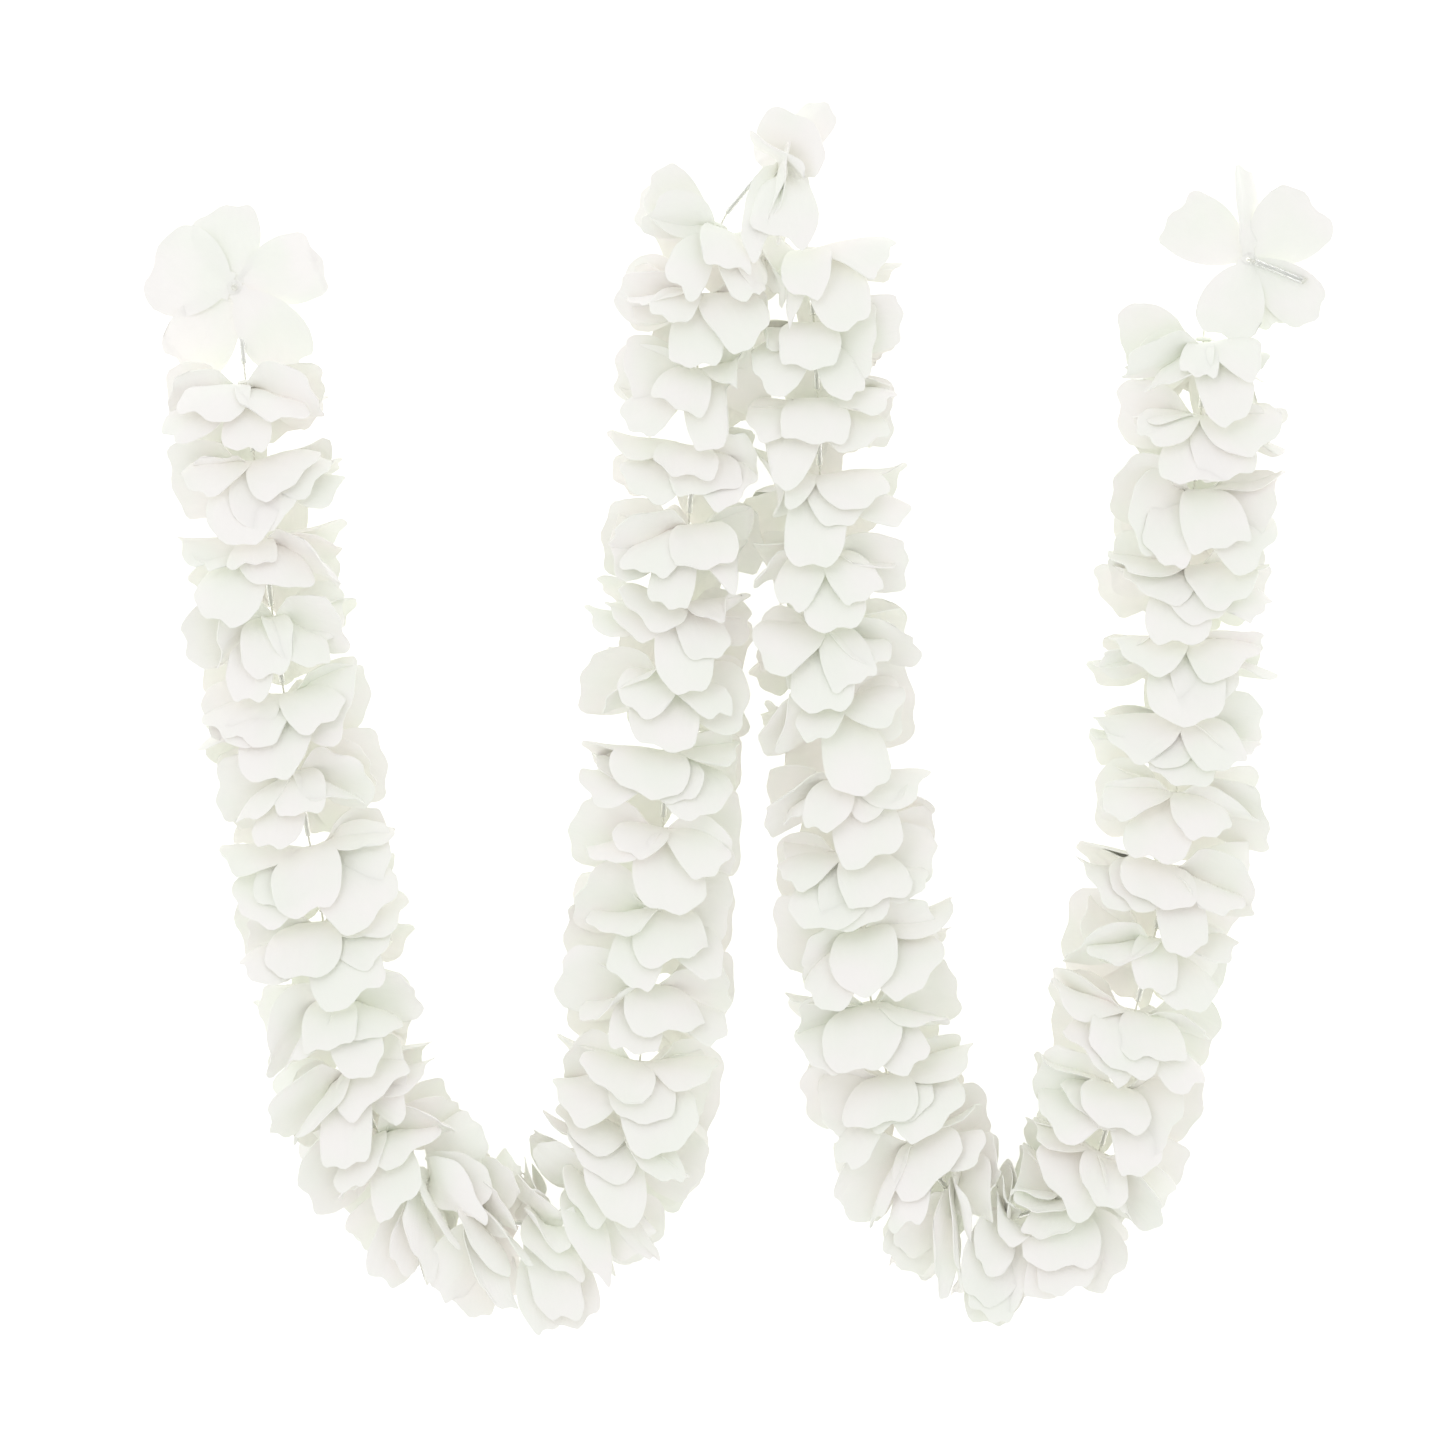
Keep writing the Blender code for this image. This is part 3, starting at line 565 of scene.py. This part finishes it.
class Skin:
    """Vertices, faces and flat pattern of one piece, gathered bit by bit."""

    def __init__(self):
        self.verts = []
        self.faces = []
        self.pattern = []

    def add_grid(self, places, pattern, closed=False):
        """Add rows of points with a quad between each four neighbours."""
        first = len(self.verts)
        rows, columns = places.shape[:2]
        self.verts.extend(places.reshape(-1, 3))
        self.pattern.extend(pattern.reshape(-1, 2))
        for row in range(rows - 1):
            for column in range(columns - (not closed)):
                a = first + row * columns + column
                b = first + row * columns + (column + 1) % columns
                self.faces.append((a, b, b + columns, a + columns))
        return first

    def add_petal(self, places, pattern):
        """A thin closed blade round a petal's middle surface."""
        along = np.gradient(places, axis=0)
        across = np.gradient(places, axis=1)
        facing = np.cross(across, along)
        facing /= np.linalg.norm(facing, axis=2)[:, :, None] + 1e-12
        rows, columns = places.shape[:2]
        offset = facing * CLOTH_THICKNESS / 2
        upper = self.add_grid(places + offset, pattern)
        lower = self.add_grid(places[:, ::-1] - offset[:, ::-1], pattern[:, ::-1])

        def mate(row, column):
            return upper + row * columns + column, lower + row * columns + columns - 1 - column

        rim = [(row, 0) for row in range(rows)]
        rim += [(rows - 1, column) for column in range(1, columns)]
        rim += [(row, columns - 1) for row in reversed(range(rows - 1))]
        rim += [(0, column) for column in reversed(range(1, columns - 1))]
        for here, there in zip(rim, rim[1:] + rim[:1]):
            a_high, a_low = mate(*here)
            b_high, b_low = mate(*there)
            self.faces.append((a_high, b_high, b_low, a_low))

    def add_turned(self, base, axis, profile, sides):
        """A closed ring turned round an axis, from (distance along, radius) corners."""
        sideways = unit(np.cross(axis, UP if abs(axis[2]) < 0.9 else np.array([1.0, 0.0, 0.0])))
        upward = np.cross(axis, sideways)
        places = []
        pattern = []
        for along, radius in [*profile, profile[0]]:
            for side in range(sides):
                turn = 2 * math.pi * side / sides
                outward = math.cos(turn) * sideways + math.sin(turn) * upward
                places.append(base + along * axis + radius * outward)
                pattern.append((radius * turn, along))
        shape = (len(profile) + 1, sides)
        self.add_grid(np.array(places).reshape(*shape, 3), np.array(pattern).reshape(*shape, 2), closed=True)

    def add_swept(self, path, radii, sides, ply=0.0):
        """A closed skin round a path, with a radius at each point."""
        tangents = np.gradient(path, axis=0)
        tangents /= np.linalg.norm(tangents, axis=1)[:, None]
        sideways = np.array([0.0, 0.0, 1.0])
        places = []
        pattern = []
        along = 0.0
        for index, (point, tangent, radius) in enumerate(zip(path, tangents, radii)):
            if index:
                along += float(np.linalg.norm(point - path[index - 1]))
            if abs(tangent @ sideways) > 0.98:
                sideways = np.array([1.0, 0.0, 0.0])
            sideways = unit(sideways - tangent * (sideways @ tangent))
            upward = np.cross(tangent, sideways)
            for side in range(sides):
                turn = 2 * math.pi * side / sides
                bulge = 1 + ply * math.cos(2 * turn + 2 * math.pi * along / 0.0024)
                outward = math.cos(turn) * sideways + math.sin(turn) * upward
                places.append(point + radius * bulge * outward)
                pattern.append((THREAD_RADIUS * turn, along))
        shape = (len(path), sides)
        first = self.add_grid(np.array(places).reshape(*shape, 3), np.array(pattern).reshape(*shape, 2),
                              closed=True)
        last = first + (len(path) - 1) * sides
        self.faces.append(tuple(reversed(range(first, first + sides))))
        self.faces.append(tuple(range(last, last + sides)))

    def as_piece(self, name, material, slot, *nodes):
        mesh = bpy.data.meshes.new(name)
        mesh.from_pydata([tuple(vert) for vert in self.verts], [], self.faces)
        layer = mesh.uv_layers.new(name="pattern")
        corners = np.empty(len(mesh.loops), dtype=np.int32)
        mesh.loops.foreach_get("vertex_index", corners)
        layer.data.foreach_set("uv", np.array(self.pattern, dtype=np.float32)[corners].ravel())
        mesh.materials.append(material)
        mesh.shade_smooth()
        mesh.set_sharp_from_angle(angle=math.radians(50))
        piece = bpy.data.objects.new(name, mesh)
        piece.location = (*CENTRE_SHIFT, 0.0)
        bpy.context.scene.collection.objects.link(piece)
        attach(piece, "root")
        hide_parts(*nodes)
        return piece


def inner_petals(plans, draw):
    """Plans of shorter petals in the gaps between a flower's outer ones."""
    inner = []
    for before, after in zip(plans, plans[1:] + plans[:1]):
        gap = (after[0] - before[0]) % (2 * math.pi)
        bridging = is_facing(before) and is_facing(after)
        count = round(gap / (BRIDGE_STEP if bridging else INNER_STEP)) - 1
        for index in range(count):
            angle = before[0] + gap * (index + draw.uniform(0.8, 1.2)) / (count + 1)
            lean = draw.uniform(-1, 1) * (BRIDGE_LEAN if bridging else INNER_LEAN)
            roll = (before[3] + after[3]) / 2 * draw.uniform(0.7, 1.1)
            turned = draw.choice((-1, 1)) * draw.uniform(*INNER_ROLL)
            if abs(math.cos(angle)) > INNER_COS and draw.random() < INNER_FACING:
                roll = turned
            reach = (before[4] + after[4]) / 2 * draw.uniform(*INNER_REACH)
            width = PETAL_WIDTH * draw.uniform(*INNER_WIDTH)
            inner.append((angle, INNER_LAYER, lean, roll, reach, width))
    return inner


def add_flower(skin, hub, axis, plans, lean_at, place, draw):
    """A flower's petals, and the small pressed hub that holds its layers."""
    low_layer = 0 if axis[1] < 0 else 1
    for plan in plans:
        skin.add_petal(*petal_sheet(plan, Cloth(draw), lean_at, place, low_layer))
    edge = HUB_HALF * 0.4
    profile = ((-HUB_HALF, BORE_RADIUS), (-HUB_HALF, HUB_RADIUS * 0.8), (-edge, HUB_RADIUS),
               (edge, HUB_RADIUS), (HUB_HALF, HUB_RADIUS * 0.8), (HUB_HALF, BORE_RADIUS))
    skin.add_turned(hub, axis, profile, HUB_SIDES)


def set_by_hand(petals):
    return sorted((math.radians(direction), *rest) for direction, *rest in petals)


def end_flower(hub, petals, sag, draw):
    """Skin of a flower at an end of the thread, open and facing up."""
    def place(lean, across, height, _):
        out = math.hypot(across, height) / PETAL_REACH
        return hub + np.array([across, height, lean - sag * out ** 2])

    def lean_at(plan, share):
        return END_LAYER_LEAN * (2 * plan[1] - 1) * share ** LEAN_RISE + plan[2] * share

    skin = Skin()
    add_flower(skin, hub, UP, set_by_hand(petals), lean_at, place, draw)
    return skin


def thread_flower(route, stop, start, end, plans, draw):
    """Skin of a flower on the thread, between the tube ends at start and end."""
    def place(lean, across, height, crowd_share):
        return route.place(stop, lean, across, height, crowd_share)

    skin = Skin()
    plans = plans + inner_petals(plans, draw)
    add_flower(skin, (start + end) / 2, unit(end - start), plans, layered_lean, place, draw)
    return skin


def corners_to(hub, tube_end):
    """Where the thread turns up from a tube to an end flower's hub."""
    under = np.array([hub[0], hub[1], tube_end[2]])
    return [under + unit(tube_end - under) * CORNER, hub - UP * 2 * CORNER]


def tube_lines(route, spans, right_hub):
    """Start and end of each tube in space, the last one past the right end flower."""
    tubes = [[route.on_thread(start), route.on_thread(end)] for start, end in spans]
    tubes[0][0][2] = END_TUBE_HEIGHT
    tubes[-1][1][2] = END_TUBE_HEIGHT
    start = right_hub + UP * 2 * CORNER + LAST_TUBE_WAY * 2 * CORNER
    tubes.append([start, start + LAST_TUBE_WAY * TUBE_LENGTH])
    return tubes


def thread_path(tubes, left_hub, right_hub):
    """The thread's way through all the tubes, from knot to knot."""
    corners = [left_hub + UP * (HUB_HALF + KNOT_GAP + KNOT_LENGTH)]
    corners += corners_to(left_hub, tubes[0][0])[::-1]
    for start, end in tubes[:-1]:
        corners += [start, end]
    corners += corners_to(right_hub, tubes[-2][1])
    corners.append(right_hub + UP * CORNER)
    corners += [tubes[-1][0], tubes[-1][1] + LAST_TUBE_WAY * (KNOT_GAP + KNOT_LENGTH)]
    return smooth_rows(resample(np.array(corners), THREAD_STEP), 3)


def thread_radii(path):
    """The thread's radius along its way, swelling into a knot at both ends."""
    steps = np.linalg.norm(np.diff(path, axis=0), axis=1)
    along = np.concatenate([[0.0], np.cumsum(steps)])
    nearest = np.minimum(along, along[-1] - along)
    swell = np.clip(1 - abs(nearest / KNOT_LENGTH * 2 - 1) ** 2.5, 0.0, 1.0)
    return THREAD_RADIUS + (KNOT_RADIUS - THREAD_RADIUS) * np.sqrt(swell)


def tube_skin(tubes):
    """The clear tubes, open at both ends, with softly rounded rims."""
    skin = Skin()
    for start, end in tubes:
        length = float(np.linalg.norm(end - start))
        profile = ((TUBE_RIM, TUBE_RADIUS), (length - TUBE_RIM, TUBE_RADIUS),
                   (length, TUBE_RADIUS - TUBE_RIM), (length, TUBE_BORE + TUBE_RIM),
                   (length - TUBE_RIM, TUBE_BORE), (TUBE_RIM, TUBE_BORE),
                   (0.0, TUBE_BORE + TUBE_RIM), (0.0, TUBE_RADIUS - TUBE_RIM))
        skin.add_turned(start, unit(end - start), profile[::-1], TUBE_SIDES)
    return skin


class Shader:
    """A material's nodes, with short calls to add and join them."""

    def __init__(self, name):
        self.material = bpy.data.materials.new(name)
        self.material.use_nodes = True
        self.tree = self.material.node_tree
        self.surface = self.tree.nodes["Principled BSDF"]

    def set(self, **values):
        for name, value in values.items():
            self.surface.inputs[name.replace("_", " ")].default_value = value

    def add(self, kind, settings=None, **inputs):
        node = self.tree.nodes.new(kind)
        for name, value in (settings or {}).items():
            setattr(node, name, value)
        for name, value in inputs.items():
            socket = node.inputs[name.replace("_", " ")]
            if isinstance(value, bpy.types.NodeSocket):
                self.tree.links.new(value, socket)
            else:
                socket.default_value = value
        return node

    def join(self, output, name):
        self.tree.links.new(output, self.surface.inputs[name])


def cloth_material():
    """White satin cloth: fine weave, soft creases, faint warm and green tints."""
    shader = Shader("petal_cloth")
    shader.set(Roughness=0.78, IOR=1.42, Sheen_Weight=0.18, Sheen_Roughness=0.45,
               Subsurface_Weight=0.10, Subsurface_Scale=0.001,
               Subsurface_Radius=(1.0, 1.0, 0.96))
    pattern = shader.add("ShaderNodeUVMap", {"uv_map": "pattern"}).outputs["UV"]
    place = shader.add("ShaderNodeTexCoord").outputs["Object"]
    tint = shader.add("ShaderNodeTexNoise", Vector=place, Scale=34.0, Detail=2.0)
    colour = shader.add("ShaderNodeValToRGB", Fac=tint.outputs["Fac"])
    colour.color_ramp.elements[0].position = 0.36
    colour.color_ramp.elements[0].color = (0.925, 0.942, 0.880, 1.0)
    colour.color_ramp.elements[1].position = 0.64
    colour.color_ramp.elements[1].color = (0.960, 0.940, 0.915, 1.0)
    shader.join(colour.outputs["Color"], "Base Color")
    threads = [shader.add("ShaderNodeTexWave", {"bands_direction": way}, Vector=pattern,
                          Scale=900.0, Distortion=0.6, Detail=0.0).outputs["Fac"]
               for way in ("X", "Y")]
    weave = shader.add("ShaderNodeMath", {"operation": "MULTIPLY"})
    shader.tree.links.new(threads[0], weave.inputs[0])
    shader.tree.links.new(threads[1], weave.inputs[1])
    woven = shader.add("ShaderNodeBump", Strength=0.35, Distance=0.00006, Height=weave.outputs[0])
    stretched = shader.add("ShaderNodeMapping", Vector=pattern, Scale=(1.0, 0.28, 1.0))
    creases = shader.add("ShaderNodeTexNoise", Vector=stretched.outputs[0], Scale=210.0, Detail=3.0,
                         Roughness=0.55)
    creased = shader.add("ShaderNodeBump", Strength=0.55, Distance=0.0007,
                         Height=creases.outputs["Fac"], Normal=woven.outputs["Normal"])
    shader.join(creased.outputs["Normal"], "Normal")
    return shader.material


def thread_material():
    """Off-white thread with its twist."""
    shader = Shader("thread")
    shader.set(Roughness=0.65, Sheen_Weight=0.1)
    pattern = shader.add("ShaderNodeUVMap", {"uv_map": "pattern"}).outputs["UV"]
    twist = shader.add("ShaderNodeTexWave", {"bands_direction": "DIAGONAL"}, Vector=pattern,
                       Scale=320.0, Distortion=0.4)
    colour = shader.add("ShaderNodeValToRGB", Fac=twist.outputs["Fac"])
    colour.color_ramp.elements[0].color = (0.74, 0.74, 0.66, 1.0)
    colour.color_ramp.elements[1].color = (0.88, 0.88, 0.82, 1.0)
    shader.join(colour.outputs["Color"], "Base Color")
    bump = shader.add("ShaderNodeBump", Strength=0.5, Distance=0.0002, Height=twist.outputs["Fac"])
    shader.join(bump.outputs["Normal"], "Normal")
    return shader.material


def tube_material():
    """Clear plastic, a little wavy from its making."""
    shader = Shader("clear_plastic")
    shader.set(Base_Color=(0.96, 0.97, 0.94, 1.0), Roughness=0.12, IOR=1.46, Transmission_Weight=0.55)
    place = shader.add("ShaderNodeTexCoord").outputs["Object"]
    waves = shader.add("ShaderNodeTexNoise", Vector=place, Scale=260.0, Detail=1.0)
    bump = shader.add("ShaderNodeBump", Strength=0.15, Distance=0.0002, Height=waves.outputs["Fac"])
    shader.join(bump.outputs["Normal"], "Normal")
    return shader.material


def floor_material():
    """A plain white studio surface."""
    shader = Shader("studio_white")
    shader.set(Base_Color=(0.96, 0.96, 0.96, 1.0), Roughness=0.9,
               Emission_Color=(1.0, 1.0, 1.0, 1.0), Emission_Strength=0.42)
    return shader.material


def add_floor():
    mesh = bpy.data.meshes.new("studio_floor")
    half = 3.0
    mesh.from_pydata([(-half, -half, 0), (half, -half, 0), (half, half, 0), (-half, half, 0)],
                     [], [(0, 1, 2, 3)])
    mesh.materials.append(floor_material())
    floor = bpy.data.objects.new("studio_floor", mesh)
    floor.location = (0.0, 0.0, -0.0002)
    bpy.context.scene.collection.objects.link(floor)


def add_camera():
    data = bpy.data.cameras.new("camera")
    data.sensor_width = SENSOR_WIDTH
    data.lens = (CAMERA_HEIGHT - THREAD_HEIGHT) * SENSOR_WIDTH / VIEW_WIDTH
    data.clip_end = 20.0
    camera = bpy.data.objects.new("camera", data)
    camera.location = (*VIEW_MIDDLE, CAMERA_HEIGHT)
    bpy.context.scene.collection.objects.link(camera)
    bpy.context.scene.camera = camera


def add_light(name, place, size, power):
    data = bpy.data.lights.new(name, "AREA")
    data.shape = "DISK"
    data.size = size
    data.energy = power
    light = bpy.data.objects.new(name, data)
    light.location = place
    way = np.array(place) * -1.0
    light.rotation_euler = (math.acos(-way[2] / np.linalg.norm(way)), 0.0,
                            math.atan2(way[1], way[0]) - math.pi / 2)
    bpy.context.scene.collection.objects.link(light)


def add_studio_light():
    world = bpy.data.worlds.new("studio")
    world.use_nodes = True
    background = world.node_tree.nodes["Background"]
    background.inputs["Color"].default_value = (1.0, 1.0, 1.0, 1.0)
    background.inputs["Strength"].default_value = 0.93
    bpy.context.scene.world = world
    add_light("key", (-1.1, 1.3, 2.6), 1.2, 4.0)
    bpy.context.scene.view_settings.view_transform = "Standard"
    bpy.context.scene.cycles.diffuse_bounces = 10


def add_lei():
    cloth = cloth_material()
    draw = random.Random(STYLE_SEED)
    route = Route()
    stops = flower_stops(route)
    spans = tube_spans(stops)
    left_hub = np.array([*route.centre(0.0), LEFT_HEIGHT])
    right_hub = np.array([*route.centre(route.length), RIGHT_HEIGHT])
    first = end_flower(left_hub, LEFT_END, LEFT_SAG, draw)
    first.as_piece("bloom_01", cloth, "white_fabric", "flower_01")
    for index, stop in enumerate(stops[1:-1]):
        start = route.on_thread(spans[index][1])
        end = route.on_thread(spans[index + 1][0])
        plans = petal_plans(route, stop, REDRAWN.get(index + 2, FIRST_SEED + index))
        if index == HALF_FLOWERS:
            plans = set_by_hand(FOLD_FLOWER)
        flower = thread_flower(route, stop, start, end, plans, draw)
        number = f"{index + 2:02d}"
        flower.as_piece(f"bloom_{number}", cloth, "white_fabric", f"flower_{number}")
    last = end_flower(right_hub, RIGHT_END, RIGHT_SAG, draw)
    number = f"{len(stops):02d}"
    last.as_piece(f"bloom_{number}", cloth, "white_fabric", f"flower_{number}")

    tubes = tube_lines(route, spans, right_hub)
    path = thread_path(tubes, left_hub, right_hub)
    thread = Skin()
    thread.add_swept(path, thread_radii(path), THREAD_SIDES)
    thread.as_piece("thread", thread_material(), "clear_tube", "strand")
    tube_skin(tubes).as_piece("spacer_tubes", tube_material(), "clear_tube", "strand")


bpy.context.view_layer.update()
add_camera()
add_floor()
add_studio_light()
add_lei()
